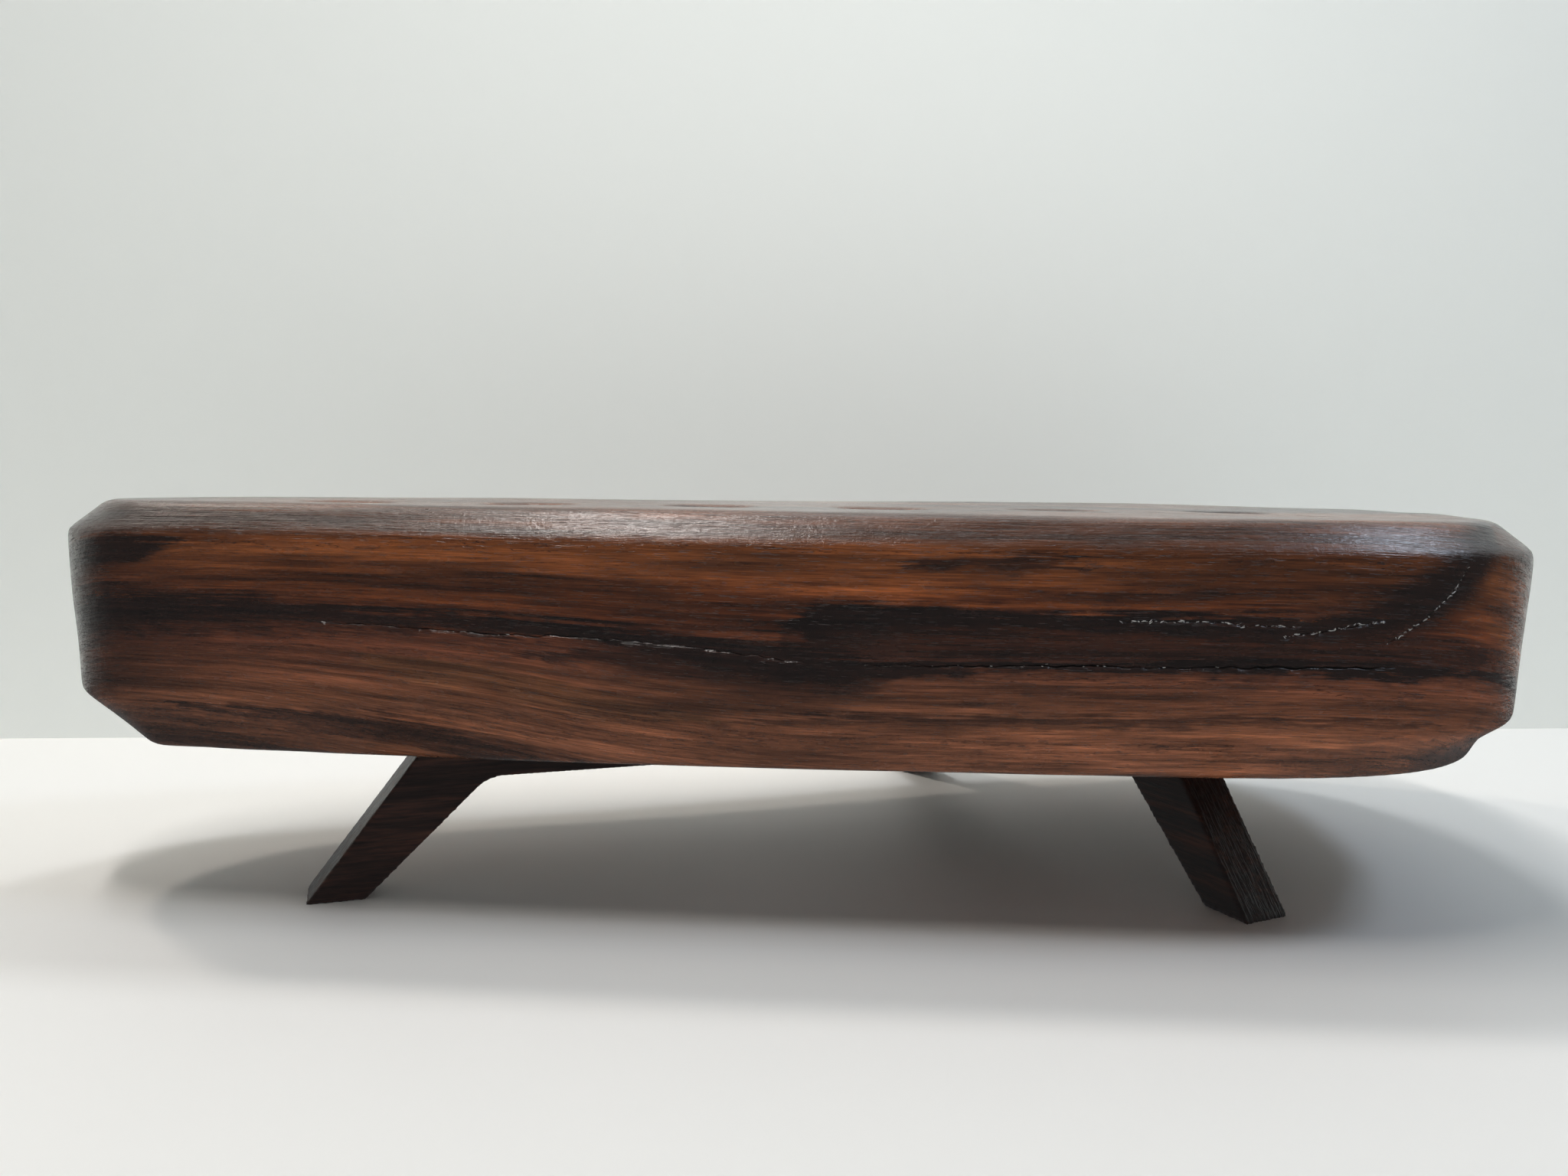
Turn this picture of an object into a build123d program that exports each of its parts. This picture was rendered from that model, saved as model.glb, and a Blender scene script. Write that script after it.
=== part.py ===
from build123d import *
import math
import os

# Dip pen holder: a thick, hand-shaped hardwood slab with a row of blind pen holes,
# standing on a three-legged base made of two flat boards that meet in a T.
# Units are millimetres. +X runs along the slab, +Y from its front face to its back, +Z up.
# The origin is on the floor, under the middle of the whole object's box.

# ---- slab -------------------------------------------------------------------------------
floor_clearance = 19.4        # floor to the slab's flat underside
waist_low = 27.0              # height where the bottom bevel meets the main face
waist_high = 48.6             # height where the main face meets the top bevel
top_height = 52.7             # floor to the flat top
half_length = 101.3           # half of the slab's length, used to grow the bevels towards the ends

# Outline of the main face in plan, from the front left round to the left end.
# The front is almost straight; the slab is deepest at the back right.
waist_outline = [
    (-87, 0.7), (-45, 0.0), (0, -0.3), (40, 0.0), (72, 1.0),
    (86.5, 6.5), (95.2, 20), (100.5, 44), (99.5, 66),
    (89, 84), (69, 91.5), (44, 89.5), (14, 80),
    (-21, 65), (-59, 51), (-86, 40.5),
    (-98.9, 29), (-102, 15.5), (-96, 4.6),
]

# How far the underside is drawn in from each point of that outline. The bottom bevel is
# widest at the two front corners.
underside_insets = [
    7.0, 5.5, 5.5, 6.5, 9.0,
    9.5, 6.0, 5.0, 5.5,
    6.0, 6.0, 6.0, 6.0,
    6.0, 6.0, 6.0,
    7.0, 7.5, 8.5,
]

# The other levels of the slab: height, inset at mid length, extra inset at the ends.
slab_levels = [
    (waist_low, 0.0, 1.2),
    (waist_high, 0.0, 0.0),
    (top_height, 4.0, 1.0),
]

# ---- pen holes --------------------------------------------------------------------------
hole_count = 6
hole_diameter = 11.0
hole_depth = 24.0
hole_pitch = 25.0             # along X
first_hole_x = -65.6
row_front_y = 18.7            # Y of the first hole
row_slope = 0.13              # the row drifts back as the slab grows deeper
hole_rim = 0.6                # small chamfer round each mouth
drill_point_angle = 118.0

# ---- base boards ------------------------------------------------------------------------
board_thickness = 7.5
foot_width = 7.5              # along the board, on the floor
outer_lean = 37.1             # outer leg edge, degrees from vertical
inner_lean = 46.1             # inner leg edge, degrees from vertical
beam_underside = 15.4
housing_depth = 4.0           # how far the boards are let into the slab
board_top = floor_clearance + housing_depth
inner_corner_radius = 5.0

arch_length = 92.0            # foot tip to foot tip
arch_front_tip = (60.5, 10.7)
arch_heading = 119.6          # direction from the front foot to the back foot

branch_tip = (-66.6, 6.7)
branch_heading = 22.9         # direction from the foot to the arch board
branch_reach = 113.2          # foot tip to the middle of the arch board

# ---- hidden joinery ---------------------------------------------------------------------
dowel_diameter = 4.0
dowel_length = 16.0
dowel_bottom = 17.0           # height of the dowel's lower end, inside the leg's shoulder
dowel_setback = 21.0          # from the foot tip, along the board
tenon_width = 4.0
tenon_height = 5.0
tenon_length = 5.0
peg_diameter = 2.0
glue_gap = 0.05               # round the dowels and the peg
end_gap = 0.5                 # past each end of a dowel, for spare glue


def inward(points, index):
    """Unit normal at one outline point, pointing into the slab."""
    before = points[index - 1]
    after = points[(index + 1) % len(points)]
    along_x = after[0] - before[0]
    along_y = after[1] - before[1]
    size = math.hypot(along_x, along_y)
    return -along_y / size, along_x / size


def even_insets(inset, end_inset):
    """An inset for every outline point that grows from mid length to the ends."""
    return [inset + end_inset * abs(x / half_length) ** 3 for x, y in waist_outline]


def slab_section(height, insets):
    """One closed level of the slab, drawn in from the outline by its bevel."""
    points = []
    for index, (x, y) in enumerate(waist_outline):
        normal_x, normal_y = inward(waist_outline, index)
        points.append((x + normal_x * insets[index], y + normal_y * insets[index], height))
    return make_face(Edge.make_spline([Vector(*point) for point in points], periodic=True))


def along_board(tip, heading, distance):
    """Plan position at a distance from a board's foot tip, on its middle line."""
    angle = math.radians(heading)
    return tip[0] + distance * math.cos(angle), tip[1] + distance * math.sin(angle)


def leg_outline_rise(height, lean):
    """How far a leaning edge has moved inwards at a height."""
    return height * math.tan(math.radians(lean))


def stand_board(profile, tip, heading):
    """Extrude a profile drawn in (along the board, height) and stand it in place."""
    flat = extrude(Plane.XZ * profile, amount=board_thickness / 2, both=True)
    return Location((tip[0], tip[1], 0), (0, 0, heading)) * flat


def arch_profile():
    """Two splayed legs joined by a beam, rounded where the beam meets each leg."""
    top_in = leg_outline_rise(board_top, outer_lean)
    beam_in = foot_width + leg_outline_rise(beam_underside, inner_lean)
    half = [(0, 0), (top_in, board_top)]
    lower = [(beam_in, beam_underside), (foot_width, 0)]
    outline = half + [(arch_length - x, z) for x, z in reversed(half)]
    outline += [(arch_length - x, z) for x, z in reversed(lower)] + lower
    face = make_face(Polyline(*outline, close=True))
    corners = [v for v in face.vertices() if abs(v.Y - beam_underside) < 0.01]
    return fillet(corners, inner_corner_radius)


def branch_profile():
    """One splayed leg and a beam that runs to the middle of the arch board."""
    top_in = leg_outline_rise(board_top, outer_lean)
    beam_in = foot_width + leg_outline_rise(beam_underside, inner_lean)
    outline = [(0, 0), (top_in, board_top), (branch_reach, board_top)]
    outline += [(branch_reach, beam_underside), (beam_in, beam_underside), (foot_width, 0)]
    face = make_face(Polyline(*outline, close=True))
    corners = [v for v in face.vertices() if math.hypot(v.X - beam_in, v.Y - beam_underside) < 0.01]
    return fillet(corners, inner_corner_radius)


def upright_cylinder(x, y, bottom, length, diameter):
    return Location((x, y, bottom + length / 2)) * Cylinder(diameter / 2, length)


def pen_hole(x, y):
    """A twist-drilled blind hole with a softened mouth."""
    radius = hole_diameter / 2
    point = radius / math.tan(math.radians(drill_point_angle / 2))
    bottom = top_height - hole_depth
    shaft = Location((x, y, bottom + hole_depth / 2)) * Cylinder(radius, hole_depth)
    tip = Location((x, y, bottom - point / 2)) * Cone(0.01, radius, point)
    mouth = Location((x, y, top_height - hole_rim / 2)) * Cone(radius, radius + hole_rim, hole_rim)
    return shaft + tip + mouth


def build():
    arch_board = stand_board(arch_profile(), arch_front_tip, arch_heading)
    branch_board = stand_board(branch_profile(), branch_tip, branch_heading) - arch_board

    tenon_start = branch_reach - board_thickness / 2 - 1
    tenon_x, tenon_y = along_board(branch_tip, branch_heading, tenon_start + (tenon_length + 1) / 2)
    tenon_z = (beam_underside + board_top) / 2
    tenon = Location((tenon_x, tenon_y, tenon_z), (0, 0, branch_heading)) * Box(
        tenon_length + 1, tenon_width, tenon_height)
    arch_board = arch_board - tenon
    branch_board = branch_board + tenon

    peg_x, peg_y = along_board(branch_tip, branch_heading, branch_reach - 1)
    tenon_peg = upright_cylinder(peg_x, peg_y, beam_underside, board_top - beam_underside, peg_diameter)

    places = [
        along_board(branch_tip, branch_heading, dowel_setback),
        along_board(arch_front_tip, arch_heading, dowel_setback),
        along_board(arch_front_tip, arch_heading, arch_length - dowel_setback),
    ]
    dowels = [upright_cylinder(x, y, dowel_bottom, dowel_length, dowel_diameter) for x, y in places]

    sections = [slab_section(floor_clearance, underside_insets)]
    sections += [slab_section(height, even_insets(*insets)) for height, *insets in slab_levels]
    slab = loft(sections, ruled=True)
    for number in range(hole_count):
        x = first_hole_x + number * hole_pitch
        slab = slab - pen_hole(x, row_front_y + row_slope * number * hole_pitch)
    slab = slab - arch_board - branch_board
    for x, y in places:
        socket = upright_cylinder(x, y, dowel_bottom - end_gap, dowel_length + 2 * end_gap,
                                  dowel_diameter + 2 * glue_gap)
        slab = slab - socket
        arch_board = arch_board - socket
        branch_board = branch_board - socket
    peg_socket = upright_cylinder(peg_x, peg_y, beam_underside - 1, board_top - beam_underside + 2,
                                  peg_diameter + 2 * glue_gap)
    arch_board = arch_board - peg_socket
    branch_board = branch_board - peg_socket

    return {
        "pen_slab": slab,
        "arch_board": arch_board,
        "branch_board": branch_board,
        "shoulder_dowels": Compound(children=dowels),
        "tenon_peg": tenon_peg,
    }


pieces = build()
whole = Compound(children=[Compound(piece.wrapped) for piece in pieces.values()])
box = whole.bounding_box()
shift = Location((-(box.min.X + box.max.X) / 2, -(box.min.Y + box.max.Y) / 2, 0))

os.makedirs("parts", exist_ok=True)
for name, piece in pieces.items():
    placed = shift * piece
    export_step(placed, f"parts/{name}.step")
    print(name, "volume", round(placed.volume), "mm3")
print("box", box.size, "moved by", shift.position)
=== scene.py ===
# %% [markdown]
# # A dip pen holder in dark hardwood
# The frame below is the imported solid model. It fixes every size and place, in metres.
# This script adds what wood looks like: eased edges, drying cracks, figure, pores, a waxed finish and
# painted glints on the crack lips.
import math
import bmesh
import bpy
from mathutils import Matrix, Vector, noise
from mathutils.bvhtree import BVHTree


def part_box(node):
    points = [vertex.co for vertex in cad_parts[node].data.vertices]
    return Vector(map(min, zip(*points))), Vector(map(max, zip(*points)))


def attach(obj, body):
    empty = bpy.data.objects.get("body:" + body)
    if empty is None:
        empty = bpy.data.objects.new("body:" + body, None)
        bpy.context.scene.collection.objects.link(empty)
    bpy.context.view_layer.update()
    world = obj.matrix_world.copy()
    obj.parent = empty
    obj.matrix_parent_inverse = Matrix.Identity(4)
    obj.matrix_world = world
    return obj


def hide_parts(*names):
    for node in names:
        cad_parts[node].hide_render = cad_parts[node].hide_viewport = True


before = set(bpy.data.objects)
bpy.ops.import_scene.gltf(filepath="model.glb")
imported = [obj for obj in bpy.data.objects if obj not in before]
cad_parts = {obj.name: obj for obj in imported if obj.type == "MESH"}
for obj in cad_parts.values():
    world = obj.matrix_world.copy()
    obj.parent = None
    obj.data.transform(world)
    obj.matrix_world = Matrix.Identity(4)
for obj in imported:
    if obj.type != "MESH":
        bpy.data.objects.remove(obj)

MM = 0.001
IN_MM = (1000.0, 1000.0, 1000.0)      # Mapping scale that turns metres into millimetres
scene = bpy.context.scene
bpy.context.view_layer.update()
slab_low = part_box("pen_slab")[0]


# %% [markdown]
# ## Helpers
# Colours are picked as sRGB hex values, as a paint chart gives them, but a shader adds light
# in linear values, so one function converts them. Every node tree is built with one function
# that adds a node, sets it and links it. A third starts each material with an empty tree.

# %% Colour and node helpers
def linear(hex_colour):
    """sRGB hex, such as 6a3c20, to linear RGBA."""
    channels = [int(hex_colour[i:i + 2], 16) / 255 for i in (0, 2, 4)]
    return (*[c / 12.92 if c <= 0.04045 else ((c + 0.055) / 1.055) ** 2.4 for c in channels], 1.0)


def add(tree, kind, *values, named=None, stops=None, curve=None, out=0, **settings):
    """Adds one node. Values go to its inputs in order, named ones by name; links or numbers."""
    node = tree.nodes.new(kind)
    for name, value in settings.items():
        setattr(node, name, value)
    pairs = [(i, v) for i, v in enumerate(values) if v is not None] + list((named or {}).items())
    for key, value in pairs:
        if isinstance(value, bpy.types.NodeSocket):
            tree.links.new(value, node.inputs[key])
        else:
            node.inputs[key].default_value = value
    if stops:
        ramp = node.color_ramp.elements
        while len(ramp) < len(stops):
            ramp.new(0.5)
        for element, (position, colour) in zip(ramp, stops):
            element.position = position
            element.color = linear(colour) if isinstance(colour, str) else (*[colour] * 3, 1.0)
    if curve:
        points = node.mapping.curves[0].points
        while len(points) < len(curve):
            points.new(0.5, 0.5)
        for point, place in zip(points, curve):
            point.location = place
            point.handle_type = "AUTO_CLAMPED"
        node.mapping.extend = "HORIZONTAL"
        node.mapping.update()
    return node.outputs[out]


def new_material(name):
    """A material and its node tree, which is left empty."""
    material = bpy.data.materials.new(name)
    material.use_nodes = True
    tree = material.node_tree
    tree.nodes.clear()
    return material, tree


# %% [markdown]
# ## Camera
# The holder is seen from close by, just above its top, as when you bend down to a desk.
# A short lens, 19 cm from the holder's middle, gives the strong perspective, so its place
# matters more than its lens.
# The camera is turned a little to the left, tips down and leans by under a degree.

# %% Camera
lens_mm = 26.71
camera_place = Vector((6.35, -186.1, 57.0)) * MM
turn_left, look_down, lean = math.radians(3.5), math.radians(5.56), math.radians(0.85)

camera = bpy.data.objects.new("camera", bpy.data.cameras.new("camera"))
scene.collection.objects.link(camera)
scene.camera = camera
camera.data.lens = lens_mm
camera.data.sensor_width = 36.0
camera.data.clip_start = 0.005
camera.matrix_world = (Matrix.Translation(camera_place)
                       @ Matrix.Rotation(turn_left, 4, "Z")
                       @ Matrix.Rotation(math.pi / 2 - look_down, 4, "X")
                       @ Matrix.Rotation(lean, 4, "Z"))
print("camera, mm:", [round(v / MM, 1) for v in camera.location])

scene.view_settings.view_transform = "Standard"


# %% [markdown]
# ## Floor, backdrop and light
# The holder stands on a white card in front of a sheet of thin pale paper that glows a little,
# as if lit from behind. A warm lamp on the left and a neutral one hang above and behind, so two
# shadows with different edges fall towards the viewer. A cool lamp on the right fills them, and
# a low one behind shines through under the slab. A long lamp overhead draws the sheen on the
# top bevel. Both cards are see-through from their backs, so that the holder can be looked at
# from any side, and the paper casts no shadow.

# %% Cards
def add_output(tree, surface):
    """The output node has no sockets of its own to return, so it is linked here."""
    output = tree.nodes.new("ShaderNodeOutputMaterial")
    tree.links.new(surface, output.inputs["Surface"])


def one_sided_card(name, colour, roughness, glow=0.0, glow_middle=0.0):
    """Card that glows evenly, with a broad brighter patch above the holder."""
    material, tree = new_material(name)
    from_middle = add(tree, "ShaderNodeMapping", add(tree, "ShaderNodeTexCoord", out=3),
                      named={"Location": (0.0, 0.0, -1.2), "Scale": (5.0, 0.0, 7.0)})
    from_middle = add(tree, "ShaderNodeVectorMath", from_middle, operation="LENGTH", out=1)
    strength = add(tree, "ShaderNodeMapRange", from_middle, 0.0, 1.3, glow + glow_middle, glow,
                   interpolation_type="SMOOTHSTEP")
    paper = add(tree, "ShaderNodeBsdfPrincipled",
                named={"Base Color": linear(colour), "Roughness": roughness,
                       "Emission Color": linear(colour), "Emission Strength": strength})
    clear = add(tree, "ShaderNodeBsdfTransparent")
    back = add(tree, "ShaderNodeNewGeometry", out="Backfacing")
    add_output(tree, add(tree, "ShaderNodeMixShader", back, paper, clear))
    return material


def card(name, corners, material):
    mesh = bpy.data.meshes.new(name)
    mesh.from_pydata(corners, [], [(0, 1, 2, 3)])
    sheet = bpy.data.objects.new(name, mesh)
    scene.collection.objects.link(sheet)
    mesh.materials.append(material)
    return sheet


card_reach = 3.0
backdrop_y = 0.068
backdrop_turn = math.tan(math.radians(9.0))
white_card = card("floor", [
    (-card_reach, -card_reach, 0), (card_reach, -card_reach, 0),
    (card_reach, card_reach, 0), (-card_reach, card_reach, 0)],
    one_sided_card("white card", "eeeeeb", 0.6))
white_card.visible_glossy = False     # keeps its pale reflection off the front of the slab
paper_sheet = card("backdrop", [
    (-card_reach, backdrop_y - card_reach * backdrop_turn, -0.001),
    (card_reach, backdrop_y + card_reach * backdrop_turn, -0.001),
    (card_reach, backdrop_y + card_reach * backdrop_turn, card_reach),
    (-card_reach, backdrop_y - card_reach * backdrop_turn, card_reach)],
    one_sided_card("thin pale paper", "dfe2de", 0.7, 0.37, 0.29))
paper_sheet.visible_shadow = False


# %% Lights
def soft_light(name, place, size, power, colour):
    """A square lamp that points at the floor under the middle of the holder."""
    lamp = bpy.data.lights.new(name, "AREA")
    lamp.shape = "SQUARE"
    lamp.size = size
    lamp.energy = power
    lamp.color = linear(colour)[:3]
    holder = bpy.data.objects.new(name, lamp)
    scene.collection.objects.link(holder)
    holder.location = place
    holder.rotation_euler = (-Vector(place)).to_track_quat("-Z", "Y").to_euler()
    return holder


soft_light("warm lamp", (-0.40, 0.18, 0.57), 0.05, 0.78, "fff2e6")
soft_light("neutral lamp", (0.02, 0.24, 0.70), 0.10, 1.05, "fafcff")
soft_light("cool lamp", (0.40, -0.05, 0.52), 0.12, 0.75, "dcebff")
soft_light("low lamp behind", (-0.03, 0.40, 0.11), 0.10, 0.07, "fdfaf4")
long_lamp = soft_light("long overhead lamp", (-0.13, -0.06, 0.60), 0.27, 1.25, "fffaf6")
long_lamp.data.shape = "RECTANGLE"
long_lamp.data.size_y = 0.04

world = bpy.data.worlds.new("room")
scene.world = world
world.use_nodes = True
world.node_tree.nodes.clear()
room = add(world.node_tree, "ShaderNodeBackground", linear("cfd4d6"), 0.16)
room_out = world.node_tree.nodes.new("ShaderNodeOutputWorld")
world.node_tree.links.new(room, room_out.inputs["Surface"])


# %% [markdown]
# ## The slab
# The slab looks shaped by hand, so no edge is knife sharp and no face is dead flat.
# A bevel modifier could ease the edges, but not the faces between them. Instead the solid
# model's surface is rebuilt from small even cells, smoothed a little, and then planed away
# unevenly by up to half a millimetre. The planing only ever takes wood off, so the slab's
# outer faces stay inside its solid model. The flat underside isn't planed, so that the boards
# fit it closely.

# %% Slab surface
def merged_copy(node):
    """A solid model node's surface with its loose triangles joined, as a new object."""
    edit = bmesh.new()
    edit.from_mesh(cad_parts[node].data)
    bmesh.ops.remove_doubles(edit, verts=edit.verts, dist=1e-7)
    mesh = bpy.data.meshes.new(node + "_surface")
    edit.to_mesh(mesh)
    edit.free()
    copy = bpy.data.objects.new(node + "_surface", mesh)
    scene.collection.objects.link(copy)
    return copy


def settled(thing, name):
    """The evaluated object as a plain mesh object; the one it came from is removed."""
    bpy.context.view_layer.update()
    evaluated = thing.evaluated_get(bpy.context.evaluated_depsgraph_get())
    mesh = bpy.data.meshes.new_from_object(evaluated)
    mesh.name = name
    bpy.data.objects.remove(thing)
    piece = bpy.data.objects.new(name, mesh)
    scene.collection.objects.link(piece)
    print(name, "faces:", len(mesh.polygons))
    return piece


def ease(node, name, cell_mm, rounds):
    """Rebuild a node's surface from even cells and round its edges over."""
    copy = merged_copy(node)
    cells = copy.modifiers.new("cells", "REMESH")
    cells.mode = "VOXEL"
    cells.voxel_size = cell_mm * MM
    rounding = copy.modifiers.new("rounding", "SMOOTH")
    rounding.factor = 0.5
    rounding.iterations = rounds
    return settled(copy, name)


slab_cell, slab_rounds = 0.80, 8      # cell size in mm, and how often the edges are rounded
slab = ease("pen_slab", "carved_slab", slab_cell, slab_rounds)

plane_bite = 0.45             # most that the hand plane takes off, mm
plane_stroke = 17.0           # distance between high spots, mm
unplaned_height = 4.0         # the plane bites less and less over this height, mm
underside, side_start = slab_low.z / MM, slab_low.z / MM + unplaned_height
outwards = [vertex.normal.copy() for vertex in slab.data.vertices]
for vertex, normal in zip(slab.data.vertices, outwards):
    spot = vertex.co / MM
    free = min(max((spot.z - underside) / (side_start - underside), 0.0), 1.0)
    stroke = Vector((spot.x / (2.0 * plane_stroke), spot.y / plane_stroke, spot.z / (0.6 * plane_stroke)))
    bite = plane_bite * free * (0.5 + 0.5 * noise.noise(stroke))
    vertex.co -= normal * bite * MM


# %% [markdown]
# ## Drying cracks
# Fine cracks run along the dark veins, as they do where heartwood has dried. Each one is a V
# that is widest in its middle and wanders a little. Geometry Nodes sweep a three-sided profile
# along each crack's path, with a seeded noise for the wander, and a boolean takes the wedges out
# of the slab. The paths are given as (x, z) on the front, and a ray finds the surface there.

# %% Crack paths
front_view = BVHTree.FromObject(slab, bpy.context.evaluated_depsgraph_get())
ray_start_y = -80.0           # well in front of the slab, mm


def on_front(x, z):
    """The point of the slab's front at x and z, mm, as seen from in front."""
    hit = front_view.ray_cast(Vector((x, ray_start_y, z)) * MM, Vector((0, 1, 0)))
    return hit[0]


crack_paths = {               # name: half width and depth in mm, then the path
    "left": (0.16, 0.9, [(-60, 37.8), (-51.3, 37.5), (-38.7, 36.9), (-30, 36.7), (-22.9, 36.5)]),
    "left_tail": (0.10, 0.6, [(-23.5, 36.6), (-15, 36.0), (-8, 35.2), (1, 34.2)]),
    "middle": (0.20, 1.0, [(7.0, 34.2), (10.9, 34.2), (19.6, 34.3), (32, 34.6), (49.6, 34.8)]),
    "slot": (0.30, 1.4, [(47, 34.8), (55.9, 35.0), (63, 35.1), (71, 35.2)]),
    "upper": (0.12, 0.6, [(38, 40.0), (42, 40.2), (46.6, 40.3), (52.2, 40.2)]),
    "upper_tail": (0.10, 0.5, [(51.7, 39.9), (55, 40.0), (59.1, 40.0)]),
    "branch": (0.13, 0.7, [(57.0, 38.7), (61, 39.3), (65, 40.1), (69.4, 40.9)]),
    "crescent": (0.14, 0.7, [(68.9, 37.6), (71.4, 39.2), (73.9, 40.9), (77.1, 43.9), (79.3, 47.6)]),
}


# %% Crack wedge tree
def input_keys(tree):
    """A node group's input names with the identifiers that a modifier is set by."""
    return {item.name: item.identifier for item in tree.interface.items_tree if item.in_out == "INPUT"}


def new_group(name, inputs):
    """A Geometry Nodes group that takes a geometry and the named numbers."""
    tree = bpy.data.node_groups.new(name, "GeometryNodeTree")
    tree.interface.new_socket("Geometry", in_out="INPUT", socket_type="NodeSocketGeometry")
    for key, kind in inputs.items():
        tree.interface.new_socket(key, in_out="INPUT", socket_type=kind)
    tree.interface.new_socket("Geometry", in_out="OUTPUT", socket_type="NodeSocketGeometry")
    source = tree.nodes.new("NodeGroupInput")
    return tree, source.outputs


def grow(thing, tree, name, **settings):
    """Run a Geometry Nodes group on an object and keep the result as a plain mesh."""
    grower = thing.modifiers.new(tree.name, "NODES")
    grower.node_group = tree
    keys = input_keys(tree)
    for key, value in settings.items():
        grower[keys[key.replace("_", " ")]] = value
    return settled(thing, name)


def path_object(name, points):
    """A polyline as an object, for a node group to follow."""
    mesh = bpy.data.meshes.new(name)
    mesh.from_pydata(points, [(i, i + 1) for i in range(len(points) - 1)], [])
    thing = bpy.data.objects.new(name, mesh)
    scene.collection.objects.link(thing)
    return thing


def finish_group(tree, geometry):
    output = tree.nodes.new("NodeGroupOutput")
    tree.links.new(geometry, output.inputs[0])


wedge_tree, given = new_group("crack wedge", {
    "half width": "NodeSocketFloat", "depth": "NodeSocketFloat", "wander": "NodeSocketFloat",
    "seed": "NodeSocketFloat", "material": "NodeSocketMaterial"})
line = add(wedge_tree, "GeometryNodeMeshToCurve", given["Geometry"])
line = add(wedge_tree, "GeometryNodeResampleCurve", line, named={"Length": 0.45 * MM}, mode="LENGTH")
ripple = add(wedge_tree, "ShaderNodeTexNoise", named={"W": given["seed"], "Scale": 700.0, "Detail": 2.0},
             noise_dimensions="4D", out=1)
ripple = add(wedge_tree, "ShaderNodeVectorMath", ripple, (0.5, 0.5, 0.5), operation="SUBTRACT")
ripple = add(wedge_tree, "ShaderNodeVectorMath", ripple, (0.0, 0.0, 1.0), operation="MULTIPLY")
ripple = add(wedge_tree, "ShaderNodeVectorMath", ripple,
             named={"Scale": given["wander"]}, operation="SCALE")
line = add(wedge_tree, "GeometryNodeSetPosition", line, named={"Offset": ripple})
factor = add(wedge_tree, "GeometryNodeSplineParameter")
to_end = add(wedge_tree, "ShaderNodeMath", 1.0, factor, operation="SUBTRACT")
taper = add(wedge_tree, "ShaderNodeMath", factor, to_end, operation="MULTIPLY")
taper = add(wedge_tree, "ShaderNodeMath", taper, 0.45, operation="POWER")
gape = add(wedge_tree, "ShaderNodeTexNoise", named={"W": given["seed"], "Scale": 450.0, "Detail": 3.0},
           noise_dimensions="4D")
gape = add(wedge_tree, "ShaderNodeMapRange", gape, 0.3, 0.7, 0.7, 2.4)
radius = add(wedge_tree, "ShaderNodeMath", taper, gape, operation="MULTIPLY")
line = add(wedge_tree, "GeometryNodeSetCurveNormal", line, named={"Normal": (0.0, 1.0, 0.0)}, mode="FREE")
wedge = add(wedge_tree, "GeometryNodeCurvePrimitiveCircle", named={"Resolution": 3, "Radius": 1.0})
shape = add(wedge_tree, "ShaderNodeCombineXYZ", given["depth"], given["half width"], 1.0)
wedge = add(wedge_tree, "GeometryNodeTransform", wedge, named={"Scale": shape})
wedge = add(wedge_tree, "GeometryNodeCurveToMesh", line, wedge, named={"Scale": radius, "Fill Caps": True})
wedge = add(wedge_tree, "GeometryNodeRealizeInstances", wedge)
wedge = add(wedge_tree, "GeometryNodeSetMaterial", wedge, named={"Material": given["material"]})
finish_group(wedge_tree, wedge)


# %% Cut the cracks
def cut(thing, cutters):
    """Take closed cutters out of a closed piece, and keep it as a plain mesh."""
    name = thing.name
    for cutter in cutters:
        saw = thing.modifiers.new("saw", "BOOLEAN")
        saw.operation = "DIFFERENCE"
        saw.solver = "MANIFOLD"
        saw.object = cutter
    piece = settled(thing, name)
    for cutter in cutters:
        bpy.data.objects.remove(cutter)
    return piece


crack_wander = 0.9            # width of the band that a crack wanders in, mm
wedges = []
for number, (label, (half_width, depth, path)) in enumerate(crack_paths.items()):
    route = path_object("crack_" + label, [on_front(x, z) for x, z in path])
    wedges.append(grow(route, wedge_tree, "wedge_" + label, half_width=half_width * MM,
                       depth=depth * MM, wander=crack_wander * MM, seed=3.1 * number))
vertices_before = len(slab.data.vertices)
slab = cut(slab, wedges)
slab.name = "carved_slab"
print("vertices added by the cracks:", len(slab.data.vertices) - vertices_before)


# %% [markdown]
# ## Painted glints in the cracks
# Pale beads sit on the lips of the open cracks. Their pale colour is a painted glint, standing in
# for light caught on the lips. Each is under a millimetre long, so it is one small bead with
# twenty faces, drawn out along the crack. A Geometry Nodes group scatters them along the same
# paths, with a fixed seed.

# %% Painted crack glints
bead_slimness = 0.22          # thickness over length
shake_least = (-0.00015, 0.0, -0.00016)      # how far a crumb may stray from its path, metres
shake_most = (0.00015, 0.00005, 0.00016)
smallest, largest = 0.35, 1.25               # times the bead's own size
glint_bead_tree, given = new_group("painted crack glints", {
    "spacing": "NodeSocketFloat", "half length": "NodeSocketFloat", "lip": "NodeSocketFloat",
    "share": "NodeSocketFloat", "seed": "NodeSocketInt", "material": "NodeSocketMaterial"})
line = add(glint_bead_tree, "GeometryNodeMeshToCurve", given["Geometry"])
line = add(glint_bead_tree, "GeometryNodeResampleCurve", line, named={"Length": given["spacing"]}, mode="LENGTH")
heading = add(glint_bead_tree, "GeometryNodeInputTangent")
turn = add(glint_bead_tree, "FunctionNodeAlignRotationToVector", named={"Vector": heading}, axis="X")
shake = add(glint_bead_tree, "FunctionNodeRandomValue", named={"Seed": given["seed"]}, data_type="FLOAT_VECTOR")
shake.node.inputs[0].default_value = shake_least
shake.node.inputs[1].default_value = shake_most
lift = add(glint_bead_tree, "ShaderNodeCombineXYZ", 0.0, 0.0, given["lip"])
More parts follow.
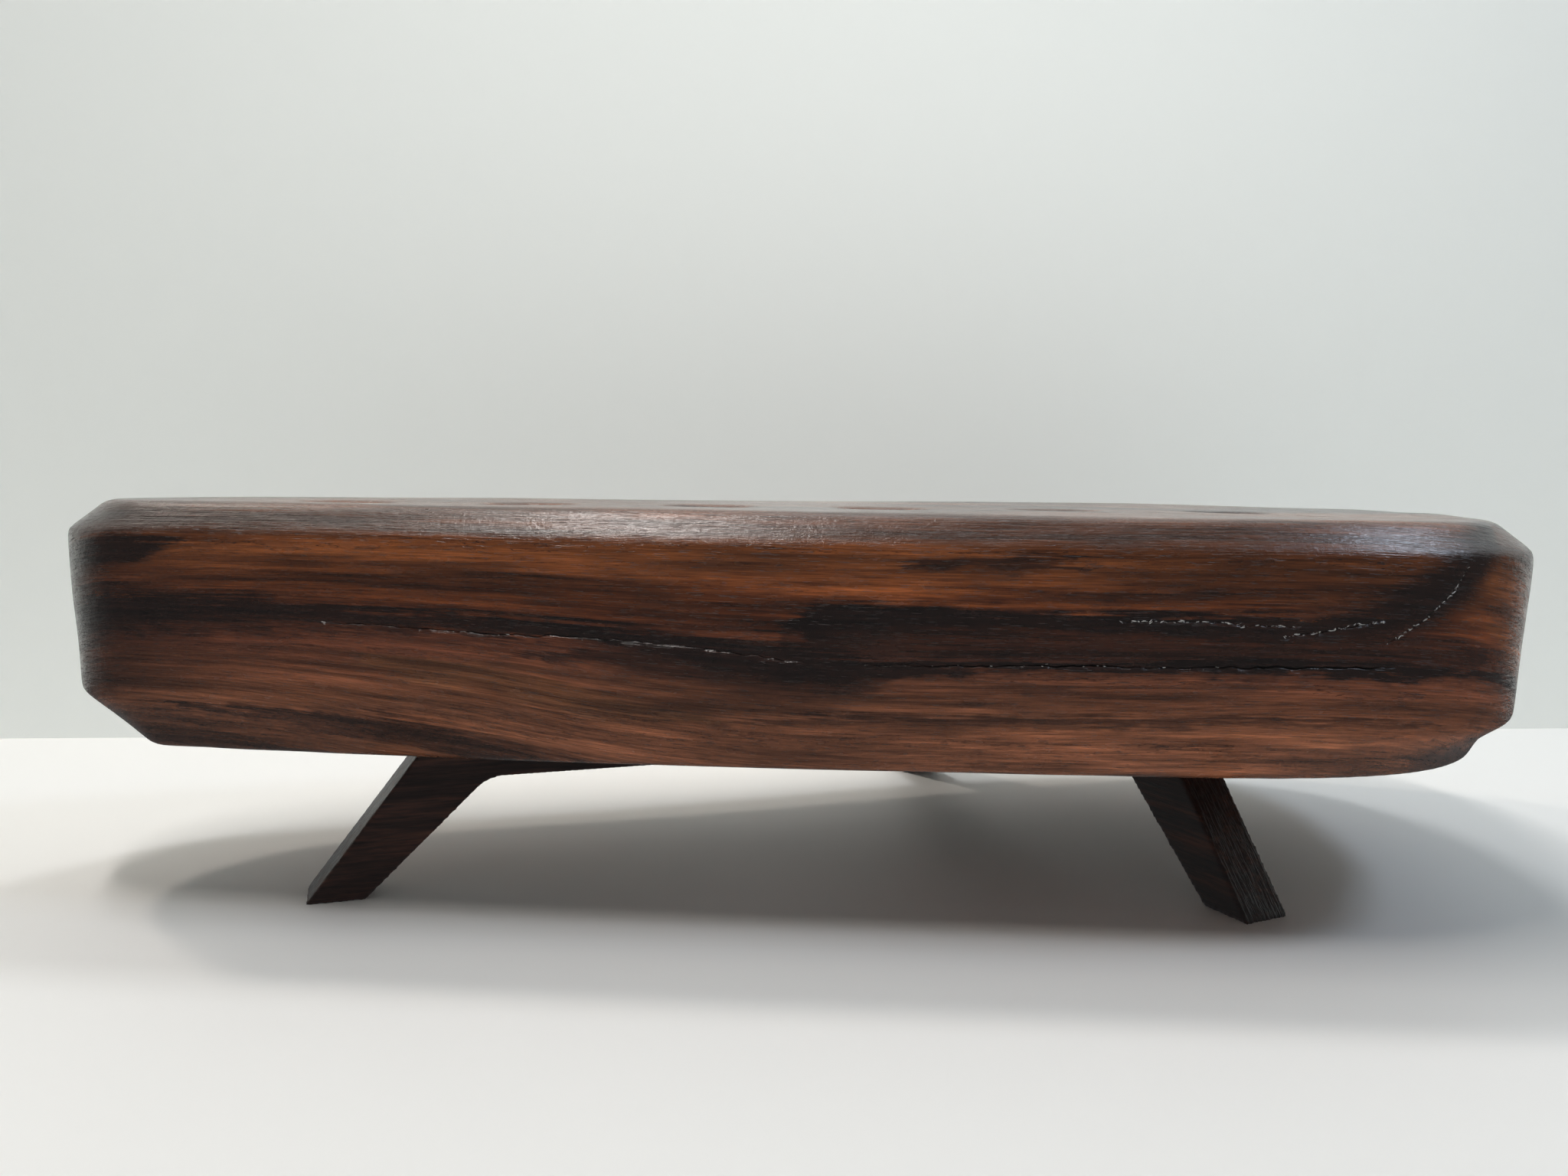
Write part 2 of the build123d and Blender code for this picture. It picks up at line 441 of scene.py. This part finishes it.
place = add(glint_bead_tree, "ShaderNodeVectorMath", shake, lift, operation="ADD")
line = add(glint_bead_tree, "GeometryNodeSetPosition", line, named={"Offset": place})
bead = add(glint_bead_tree, "GeometryNodeMeshIcoSphere", named={"Radius": 1.0, "Subdivisions": 1})
bead = add(glint_bead_tree, "GeometryNodeSetShadeSmooth", bead)
half_thick = add(glint_bead_tree, "ShaderNodeMath", given["half length"], bead_slimness, operation="MULTIPLY")
form = add(glint_bead_tree, "ShaderNodeCombineXYZ", given["half length"], half_thick, half_thick)
bead = add(glint_bead_tree, "GeometryNodeTransform", bead, named={"Scale": form})
kept = add(glint_bead_tree, "FunctionNodeRandomValue", data_type="BOOLEAN",
           named={"Probability": given["share"], "Seed": given["seed"]}, out=3)
size = add(glint_bead_tree, "FunctionNodeRandomValue", data_type="FLOAT", named={"Seed": given["seed"]}, out=1)
size.node.inputs[2].default_value = smallest
size.node.inputs[3].default_value = largest
glint_beads = add(glint_bead_tree, "GeometryNodeInstanceOnPoints", line,
             named={"Selection": kept, "Instance": bead, "Rotation": turn, "Scale": size})
glint_beads = add(glint_bead_tree, "GeometryNodeRealizeInstances", glint_beads)
glint_beads = add(glint_bead_tree, "GeometryNodeSetMaterial", glint_beads, named={"Material": given["material"]})
finish_group(glint_bead_tree, glint_beads)

# The beads' pale colour is a painted glint, standing in for light caught on the crack lips.
glint_paint, tree = new_material("pale beads, painted glint")
mottle = add(tree, "ShaderNodeTexNoise", named={"Scale": 9000.0, "Detail": 2.0,
             "Vector": add(tree, "ShaderNodeTexCoord", out=3)})
pale = add(tree, "ShaderNodeValToRGB", mottle, stops=[(0.3, "c9c6c4"), (0.7, "f2f1f0")])
add_output(tree, add(tree, "ShaderNodeBsdfPrincipled",
                     named={"Base Color": pale, "Roughness": 0.35, "Subsurface Weight": 0.1}))

glint_bead_runs = {                # crack: spacing and half length, mm; share kept; height of the lip, mm
    "left": (0.45, 0.24, 0.13, -0.14), "left_tail": (0.60, 0.22, 0.10, -0.10),
    "middle": (0.50, 0.22, 0.16, 0.12), "slot": (0.60, 0.24, 0.12, -0.25),
    "upper": (0.22, 0.30, 0.62, 0.03), "upper_tail": (0.22, 0.30, 0.50, 0.0),
    "branch": (0.20, 0.32, 0.66, 0.03), "crescent": (0.20, 0.32, 0.60, 0.0),
}
glint_bead_sink = Vector((0, 0.02, 0)) * MM
runs = []
for number, (label, (spacing, half_length, share, lip)) in enumerate(glint_bead_runs.items()):
    path = [on_front(x, z) + glint_bead_sink for x, z in crack_paths[label][2]]
    runs.append(grow(path_object("run_" + label, path), glint_bead_tree, "glint_run_" + label,
                     spacing=spacing * MM, half_length=half_length * MM, lip=lip * MM, share=share,
                     seed=11 + number, material=glint_paint))


def joined(parts, name):
    """Several plain mesh objects as one."""
    edit = bmesh.new()
    for part in parts:
        edit.from_mesh(part.data)
    first = parts[0]
    edit.to_mesh(first.data)
    edit.free()
    for part in parts[1:]:
        bpy.data.objects.remove(part)
    first.name = first.data.name = name
    return first


bead_faces = 20
crack_glint_beads = joined(runs, "crack_glint_beads")
print("painted crack glints:", len(crack_glint_beads.data.polygons) // bead_faces)

# %% [markdown]
# ## The base boards
# Two boards of a darker wood, joined in a T. Their edges are only just broken, so they are
# rebuilt from finer cells and rounded much less than the slab. The three dowels and the tenon's
# peg are not rebuilt; they keep the solid model's shapes.

# %% Boards
arch_cell, branch_cell = 0.32, 0.34   # mm
board_rounds = 2
arch = ease("arch_board", "sawn_arch_board", arch_cell, board_rounds)
branch = ease("branch_board", "sawn_branch_board", branch_cell, board_rounds)

# %% [markdown]
# ## Figured hardwood, oiled and waxed
# The slab is a dark, figured hardwood with an oiled and waxed look. Its figure is a real
# solid: thin layers of growth that run almost level along the front and slope down towards the
# back, so one pattern runs on from the front to the ends, the top and the underside. Every
# noise is drawn out along the grain. The main dark veins are each given by a middle line and a
# half width along the slab, in Float Curves, with their edges frayed by the noise.

# %% Grain helpers
grain_low, grain_high = -105.0, 105.0           # x range of every curve, mm
layer_low, layer_high = 14.0, 64.0              # layer range of every curve, mm
layer_tilt = 0.35                               # drop of the layers towards the back, mm per mm
widest_vein = 10.0                              # half width at the top of a width curve, mm


def along_slab(x):
    return (x - grain_low) / (grain_high - grain_low)


def up_layers(z):
    return (z - layer_low) / (layer_high - layer_low)


def streaks(tree, place, size, detail=3.0, roughness=0.55, shift=0.0):
    """Noise drawn out to streaks of a given length, depth and height, mm."""
    drawn_out = add(tree, "ShaderNodeMapping", place,
                    named={"Scale": [1.0 / length for length in size], "Location": (shift, shift, shift)})
    return add(tree, "ShaderNodeTexNoise", drawn_out,
               named={"Scale": 1.0, "Detail": detail, "Roughness": roughness})


def vein(tree, along, layer, middle, half_width, strength):
    """How dark one vein makes a spot, from 0 to its strength."""
    middle = add(tree, "ShaderNodeFloatCurve", 1.0, along,
                 curve=[(along_slab(x), up_layers(z)) for x, z in middle])
    spread = add(tree, "ShaderNodeFloatCurve", 1.0, along,
                 curve=[(along_slab(x), w / widest_vein) for x, w in half_width])
    off = add(tree, "ShaderNodeMath", layer, middle, operation="SUBTRACT")
    off = add(tree, "ShaderNodeMath", off, operation="ABSOLUTE")
    off = add(tree, "ShaderNodeMath", off, (layer_high - layer_low) / widest_vein, operation="MULTIPLY")
    off = add(tree, "ShaderNodeMath", off, spread, operation="DIVIDE")
    return add(tree, "ShaderNodeMapRange", off, 0.35, 1.55, strength, 0.0, interpolation_type="SMOOTHSTEP")


veins = [                     # middle line (x, layer), half widths (x, mm), strength
    ([(-100, 40), (-69, 39.5), (-39, 38.4), (-25, 37.3), (-12, 35.5), (0, 34.0),
      (26, 34.5), (78, 35.3), (100, 35.5)],
     [(-100, 3.4), (-88, 3.0), (-69, 2.2), (-52, 1.6), (-25, 1.3), (-12, 1.8), (0, 2.2),
      (9, 1.6), (26, 0.9), (66, 0.8), (100, 0.6)], 0.92),
    ([(-2, 38.6), (3, 39.3), (12, 40.2), (48, 40.1), (66, 41), (71, 42.4), (77, 46.2),
      (82, 51.5), (86, 57)],
     [(-4, 0.02), (0, 1.0), (3, 2.6), (12, 2.0), (30, 1.5), (48, 1.6), (64, 2.4), (72, 3.6), (78, 4.6),
      (83, 4.0), (86, 0.02)], 0.95),
    ([(-104, 46.5), (-92, 46.6), (-84, 47.2), (-76, 48.0)],
     [(-104, 1.6), (-96, 2.4), (-88, 2.3), (-82, 1.0), (-77, 0.02)], 0.92),
    ([(-2, 37.0), (20, 37.2), (78, 37.6), (90, 38)],
     [(-3, 0.02), (2, 2.8), (40, 2.7), (72, 2.9), (80, 1.6), (84, 0.02)], 0.60),
    ([(-38, 34.8), (-25, 34.5), (-10, 33.3), (0, 31.8), (8, 32.5), (14, 33)],
     [(-38, 0.02), (-25, 1.2), (-10, 2.6), (0, 2.8), (8, 1.6), (13, 0.02)], 0.72),
    ([(-20, 26.7), (12, 27.5), (35, 28), (67, 29.1), (90, 30)],
     [(-20, 0.02), (-11, 0.5), (35, 0.55), (67, 0.5), (80, 0.02)], 0.55),
    ([(-80, 27.2), (-61, 26), (-49.5, 24.8), (-39, 22.2), (-28, 19.5), (-20, 17)],
     [(-82, 0.02), (-74, 0.8), (-61, 1.0), (-49, 1.8), (-33, 2.0), (-20, 1.2), (-14, 0.02)], 0.80),
    ([(8, 46.2), (24, 46.8), (34, 46.9)],
     [(9, 0.02), (16, 0.5), (26, 0.75), (32, 0.4), (36, 0.02)], 0.75),
    ([(30, 43.4), (42, 43.6), (52, 43.7)], [(30, 0.02), (36, 0.5), (46, 0.5), (53, 0.02)], 0.55),
    ([(74, 25), (98, 27)], [(75, 0.02), (84, 1.6), (93, 2.6), (98, 1.5)], 0.55),
]
pale_streaks = [              # middle line (x, layer), half widths (x, mm), strength, colour
    ([(-56, 33.6), (-46, 32.2), (-38.7, 31.4), (-27, 28.8), (-12, 27.0)],
     [(-58, 0.02), (-46, 1.4), (-30, 1.6), (-16, 0.9), (-8, 0.02)], 0.45, "8f5c38"),
    ([(83, 41.5), (89, 39.8), (95, 40)], [(82, 0.02), (86, 1.6), (90, 3.0), (94, 0.02)], 0.55, "8d4f24"),
]
print("veins:", len(veins), "pale streaks:", len(pale_streaks))

# %% Slab figure
oiled_hardwood, tree = new_material("figured hardwood, oiled and waxed")
spot = add(tree, "ShaderNodeTexCoord", out=3)
spot = add(tree, "ShaderNodeMapping", spot, named={"Scale": IN_MM})
spot_x = add(tree, "ShaderNodeSeparateXYZ", spot)
spot_y, spot_z = spot_x.node.outputs[1], spot_x.node.outputs[2]
along = add(tree, "ShaderNodeMapRange", spot_x, grain_low, grain_high, 0.0, 1.0)
behind = add(tree, "ShaderNodeMath", spot_y, -slab_low.y / MM, operation="ADD")
layer_mm = add(tree, "ShaderNodeMath", behind, layer_tilt, spot_z, operation="MULTIPLY_ADD")

# The grain follows a dip that sweeps down to the right under the narrow end.
dip = add(tree, "ShaderNodeFloatCurve", 1.0, along, curve=[
    (along_slab(x), 0.5 + drop / 20.0) for x, drop in
    [(-105, 8.5), (-80, 7.8), (-46, 4.4), (-15, 0.4), (10, -0.6), (60, 0.0), (105, 0.6)]])
dip = add(tree, "ShaderNodeMapRange", dip, 0.0, 1.0, -10.0, 10.0)
reach = add(tree, "ShaderNodeMapRange", layer_mm, 30.0, 47.0, 1.0, 0.1, interpolation_type="SMOOTHSTEP")
dip = add(tree, "ShaderNodeMath", dip, reach, operation="MULTIPLY")
straight = add(tree, "ShaderNodeMath", layer_mm, dip, operation="SUBTRACT")
grain = add(tree, "ShaderNodeCombineXYZ", spot_x, spot_y, straight)

broad = streaks(tree, grain, (46.0, 30.0, 3.4), 2.0, 0.5)
mid = streaks(tree, grain, (26.0, 9.0, 0.95), 3.0, 0.6, 7.3)
fine = streaks(tree, grain, (13.0, 5.0, 0.34), 4.0, 0.65, 3.7)
fibre = streaks(tree, grain, (5.0, 3.0, 0.14), 2.0, 0.6, 9.1)
mottle = streaks(tree, grain, (5.0, 4.0, 1.7), 3.0, 0.6, 5.9)

fray = add(tree, "ShaderNodeMath", mid, 0.5, operation="SUBTRACT")
fray_fine = add(tree, "ShaderNodeMath", fine, 0.5, operation="SUBTRACT")
fray_wide = add(tree, "ShaderNodeMath", mottle, 0.5, operation="SUBTRACT")
frayed = add(tree, "ShaderNodeMath", fray, 4.4, layer_mm, operation="MULTIPLY_ADD")
frayed = add(tree, "ShaderNodeMath", fray_fine, 2.2, frayed, operation="MULTIPLY_ADD")
frayed = add(tree, "ShaderNodeMath", fray_wide, 2.6, frayed, operation="MULTIPLY_ADD")
layer = add(tree, "ShaderNodeMapRange", frayed, layer_low, layer_high, 0.0, 1.0)

light_left = None
for middle, half_width, strength in veins:
    dark = vein(tree, along, layer, middle, half_width, strength)
    passed = add(tree, "ShaderNodeMath", 1.0, dark, operation="SUBTRACT")
    light_left = passed if light_left is None else add(tree, "ShaderNodeMath", light_left, passed,
                                                       operation="MULTIPLY")

# Above the front's figure, on the top and towards the back, the veins are left to the noise.
far_up = add(tree, "ShaderNodeMapRange", layer_mm, 54.0, 60.0, 0.0, 1.0, interpolation_type="SMOOTHSTEP")
far_vein = streaks(tree, grain, (75.0, 26.0, 4.2), 2.0, 0.5, 21.4)
far_vein = add(tree, "ShaderNodeMapRange", far_vein, 0.52, 0.62, 0.0, 0.85, interpolation_type="SMOOTHSTEP")
far_vein = add(tree, "ShaderNodeMath", far_vein, far_up, operation="MULTIPLY")
passed = add(tree, "ShaderNodeMath", 1.0, far_vein, operation="SUBTRACT")
light_left = add(tree, "ShaderNodeMath", light_left, passed, operation="MULTIPLY")

# Both ends are smoky: x where the smoke starts and stops changing, mm, and how dark it is at each.
end_smoke = [(-99.0, -62.0, 0.70, 0.0), (80.0, 97.0, 0.0, 0.50)]
for x_from, x_to, dark_from, dark_to in end_smoke:
    smoke = add(tree, "ShaderNodeMapRange", spot_x, x_from, x_to, dark_from, dark_to,
                interpolation_type="SMOOTHSTEP")
    passed = add(tree, "ShaderNodeMath", 1.0, smoke, operation="SUBTRACT")
    light_left = add(tree, "ShaderNodeMath", light_left, passed, operation="MULTIPLY")

# %% Slab colour
tone = add(tree, "ShaderNodeMapRange", frayed, 19.0, 59.0, 0.0, 1.0)
ground = add(tree, "ShaderNodeValToRGB", tone, stops=[
    (0.00, "8f5c44"), (0.24, "8f5639"), (0.42, "6f3c27"), (0.55, "81401b"), (0.70, "8f4f26"),
    (0.80, "5e341d"), (1.00, "68402a")])
streak_light = add(tree, "ShaderNodeMapRange", broad, 0.32, 0.68, 0.42, 1.45)
streak_mid = add(tree, "ShaderNodeMapRange", mid, 0.32, 0.68, 0.50, 1.45)
streak_fine = add(tree, "ShaderNodeMapRange", fine, 0.30, 0.70, 0.62, 1.38)
streak_fibre = add(tree, "ShaderNodeMapRange", fibre, 0.30, 0.70, 0.62, 1.38)
shade = add(tree, "ShaderNodeMath", streak_light, streak_mid, operation="MULTIPLY")
shade = add(tree, "ShaderNodeMath", shade, streak_fine, operation="MULTIPLY")
shade = add(tree, "ShaderNodeMath", shade, streak_fibre, operation="MULTIPLY")
shades = add(tree, "ShaderNodeCombineXYZ", shade, shade, shade)
ground = add(tree, "ShaderNodeVectorMath", ground, shades, operation="MULTIPLY")
heart = add(tree, "ShaderNodeValToRGB", fine, stops=[(0.30, "160b09"), (0.50, "1f1210"), (0.72, "38201a")])
wood = add(tree, "ShaderNodeMix", data_type="RGBA", out=2,
           named={0: light_left, 6: heart, 7: ground})

# Two pale streaks lie over the figure: a tan one low on the left, an amber one at the wide end.
for middle, half_width, strength, colour in pale_streaks:
    pale = vein(tree, along, layer, middle, half_width, strength)
    lit = add(tree, "ShaderNodeVectorMath", linear(colour)[:3], shades, operation="MULTIPLY")
    wood = add(tree, "ShaderNodeMix", data_type="RGBA", out=2, named={0: pale, 6: wood, 7: lit})

# Open pores, about 2 mm long and 0.1 mm high, show as short dark dashes.
pores = streaks(tree, grain, (1.9, 2.4, 0.13), 1.0, 0.4, 31.7)
pores = add(tree, "ShaderNodeMapRange", pores, 0.62, 0.74, 0.0, 1.0, interpolation_type="SMOOTHSTEP")
pore_shade = add(tree, "ShaderNodeMath", pores, 0.42, operation="MULTIPLY")
wood = add(tree, "ShaderNodeMix", data_type="RGBA", out=2,
           named={0: pore_shade, 6: wood, 7: linear("1c100c")})

# %% Slab relief and finish
facing = add(tree, "ShaderNodeNewGeometry", out="Normal")
facing = add(tree, "ShaderNodeSeparateXYZ", facing)
end_grain = add(tree, "ShaderNodeMath", facing, operation="ABSOLUTE")
end_grain = add(tree, "ShaderNodeMapRange", end_grain, 0.45, 0.85, 0.0, 1.0,
                interpolation_type="SMOOTHSTEP")

dash_place = add(tree, "ShaderNodeMapping", spot, named={"Rotation": (math.radians(-14.0), 0.0, 0.0),
                 "Scale": (0.25, 0.42, 2.4)})
dashes = add(tree, "ShaderNodeTexNoise", dash_place, named={"Scale": 1.0, "Detail": 2.0, "Roughness": 0.5})
dashes = add(tree, "ShaderNodeMapRange", dashes, 0.45, 0.60, 0.0, 1.0, interpolation_type="SMOOTHSTEP")
dashes = add(tree, "ShaderNodeMath", dashes, end_grain, operation="MULTIPLY")

orange_peel = add(tree, "ShaderNodeTexNoise", spot, named={"Scale": 1.4, "Detail": 2.0, "Roughness": 0.6})
relief = add(tree, "ShaderNodeMath", pores, -0.6, fine, operation="MULTIPLY_ADD")
relief = add(tree, "ShaderNodeMath", orange_peel, 0.80, relief, operation="MULTIPLY_ADD")
relief = add(tree, "ShaderNodeMath", fibre, 0.5, relief, operation="MULTIPLY_ADD")
relief = add(tree, "ShaderNodeMath", dashes, 2.2, relief, operation="MULTIPLY_ADD")
surface_normal = add(tree, "ShaderNodeBump",
                     named={"Strength": 0.55, "Distance": 0.00016, "Height": relief})

polish = add(tree, "ShaderNodeMapRange", mottle, 0.30, 0.70, 0.17, 0.30)
polish = add(tree, "ShaderNodeMath", pores, 0.25, polish, operation="MULTIPLY_ADD")
add_output(tree, add(tree, "ShaderNodeBsdfPrincipled", named={
    "Base Color": wood, "Roughness": polish, "IOR": 1.5, "Specular IOR Level": 0.75,
    "Normal": surface_normal, "Coat Weight": 0.18, "Coat Roughness": 0.26}))

# %% [markdown]
# ## Dark hardwood boards
# The boards are a plainer, almost black-brown wood with its grain along each board. The grain
# is the same kind of drawn-out noise, turned by a Mapping node to each board's own heading.
# The leaning edges cut across the fibres, so they carry coarse raised lines that catch the light.

# %% Board wood
def board_wood(name, heading, tones):
    """Dark hardwood with its grain along a board's heading, degrees."""
    material, tree = new_material(name)
    spot = add(tree, "ShaderNodeTexCoord", out=3)
    spot = add(tree, "ShaderNodeMapping", spot, named={"Scale": IN_MM})
    turned = add(tree, "ShaderNodeMapping", spot, named={"Rotation": (0.0, 0.0, math.radians(-heading))})
    wide = streaks(tree, turned, (26.0, 5.0, 2.6), 3.0, 0.6, 2.2)
    line = streaks(tree, turned, (9.0, 0.8, 0.5), 3.0, 0.65, 6.1)
    hair = streaks(tree, turned, (3.2, 0.28, 0.20), 2.0, 0.6, 8.8)
    tone = add(tree, "ShaderNodeMath", line, 0.5, operation="MULTIPLY")
    tone = add(tree, "ShaderNodeMath", wide, 0.5, tone, operation="MULTIPLY_ADD")
    colour = add(tree, "ShaderNodeValToRGB", tone, stops=tones)
    pits = add(tree, "ShaderNodeMapRange", hair, 0.60, 0.72, 0.0, 0.6)
    colour = add(tree, "ShaderNodeMix", data_type="RGBA", out=2,
                 named={0: pits, 6: colour, 7: linear("0c0707")})
    # On the leaning edges the grain comes to the surface, in lines that run up the leg.
    facing = add(tree, "ShaderNodeNewGeometry", out="Normal")
    facing = add(tree, "ShaderNodeMapping", facing, named={"Rotation": (0.0, 0.0, math.radians(-heading))})
    facing = add(tree, "ShaderNodeSeparateXYZ", facing)
    edge = add(tree, "ShaderNodeMath", facing, operation="ABSOLUTE")
    edge = add(tree, "ShaderNodeMapRange", edge, 0.5, 0.75, 0.0, 1.0)
    sawn = streaks(tree, turned, (3.5, 0.42, 3.5), 2.0, 0.55, 4.4)
    sawn = add(tree, "ShaderNodeMapRange", sawn, 0.42, 0.60, 0.0, 1.0, interpolation_type="SMOOTHSTEP")
    sawn = add(tree, "ShaderNodeMath", sawn, edge, operation="MULTIPLY")
    relief = add(tree, "ShaderNodeMath", hair, 0.6, line, operation="MULTIPLY_ADD")
    relief = add(tree, "ShaderNodeMath", sawn, 1.6, relief, operation="MULTIPLY_ADD")
    bumped = add(tree, "ShaderNodeBump", named={"Strength": 0.6, "Distance": 0.00014, "Height": relief})
    rough = add(tree, "ShaderNodeMapRange", wide, 0.3, 0.7, 0.30, 0.48)
    add_output(tree, add(tree, "ShaderNodeBsdfPrincipled", named={
        "Base Color": colour, "Roughness": rough, "IOR": 1.5, "Normal": bumped,
        "Coat Weight": 0.2, "Coat Roughness": 0.18}))
    return material


dark_tones = [(0.34, "150c0b"), (0.50, "2b1814"), (0.60, "43251b"), (0.72, "5a3424")]
arch_heading, branch_heading = 119.6, 22.9      # degrees from +X
arch_wood = board_wood("dark hardwood, grain along the arch board", arch_heading, dark_tones)
branch_tones = [(0.34, "1c100e"), (0.50, "3a221c"), (0.60, "543024"), (0.72, "68402e")]
branch_wood = board_wood("dark hardwood, grain along the branch board", branch_heading, branch_tones)

# %% [markdown]
# ## Dowel birch
# Dowels are turned from a pale, even, close-grained wood such as birch and left bare. Their
# grain runs up the dowel, with small warm flecks.

# %% Dowel wood
birch, tree = new_material("turned birch, bare")
spot = add(tree, "ShaderNodeTexCoord", out=3)
spot = add(tree, "ShaderNodeMapping", spot, named={"Scale": IN_MM})
thread = streaks(tree, spot, (0.35, 0.35, 6.0), 3.0, 0.6)
fleck = streaks(tree, spot, (0.25, 0.25, 1.2), 2.0, 0.5, 5.0)
mixed = add(tree, "ShaderNodeMath", thread, fleck, operation="MULTIPLY")
colour = add(tree, "ShaderNodeValToRGB", mixed,
             stops=[(0.12, "b08a5e"), (0.25, "cfae82"), (0.40, "dcc39b")])
bumped = add(tree, "ShaderNodeBump", named={"Strength": 0.4, "Distance": 0.00008, "Height": thread})
add_output(tree, add(tree, "ShaderNodeBsdfPrincipled",
                     named={"Base Color": colour, "Roughness": 0.62, "Normal": bumped}))

# %% [markdown]
# ## Handing the pieces over
# Each carved piece stands for its solid model node and rides on the one body. The pale beads of
# painted glint stand for no node.

# %% Pieces
def hand_over(piece, material, node=None):
    piece.data.materials.clear()
    piece.data.materials.append(material)
    for face in piece.data.polygons:
        face.use_smooth = True
    if node:
        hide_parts(node)
    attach(piece, "root")


hand_over(slab, oiled_hardwood, "pen_slab")
hand_over(crack_glint_beads, glint_paint)
hand_over(arch, arch_wood, "arch_board")
hand_over(branch, branch_wood, "branch_board")
for node in ("shoulder_dowels", "tenon_peg"):
    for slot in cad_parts[node].material_slots:
        slot.material = birch
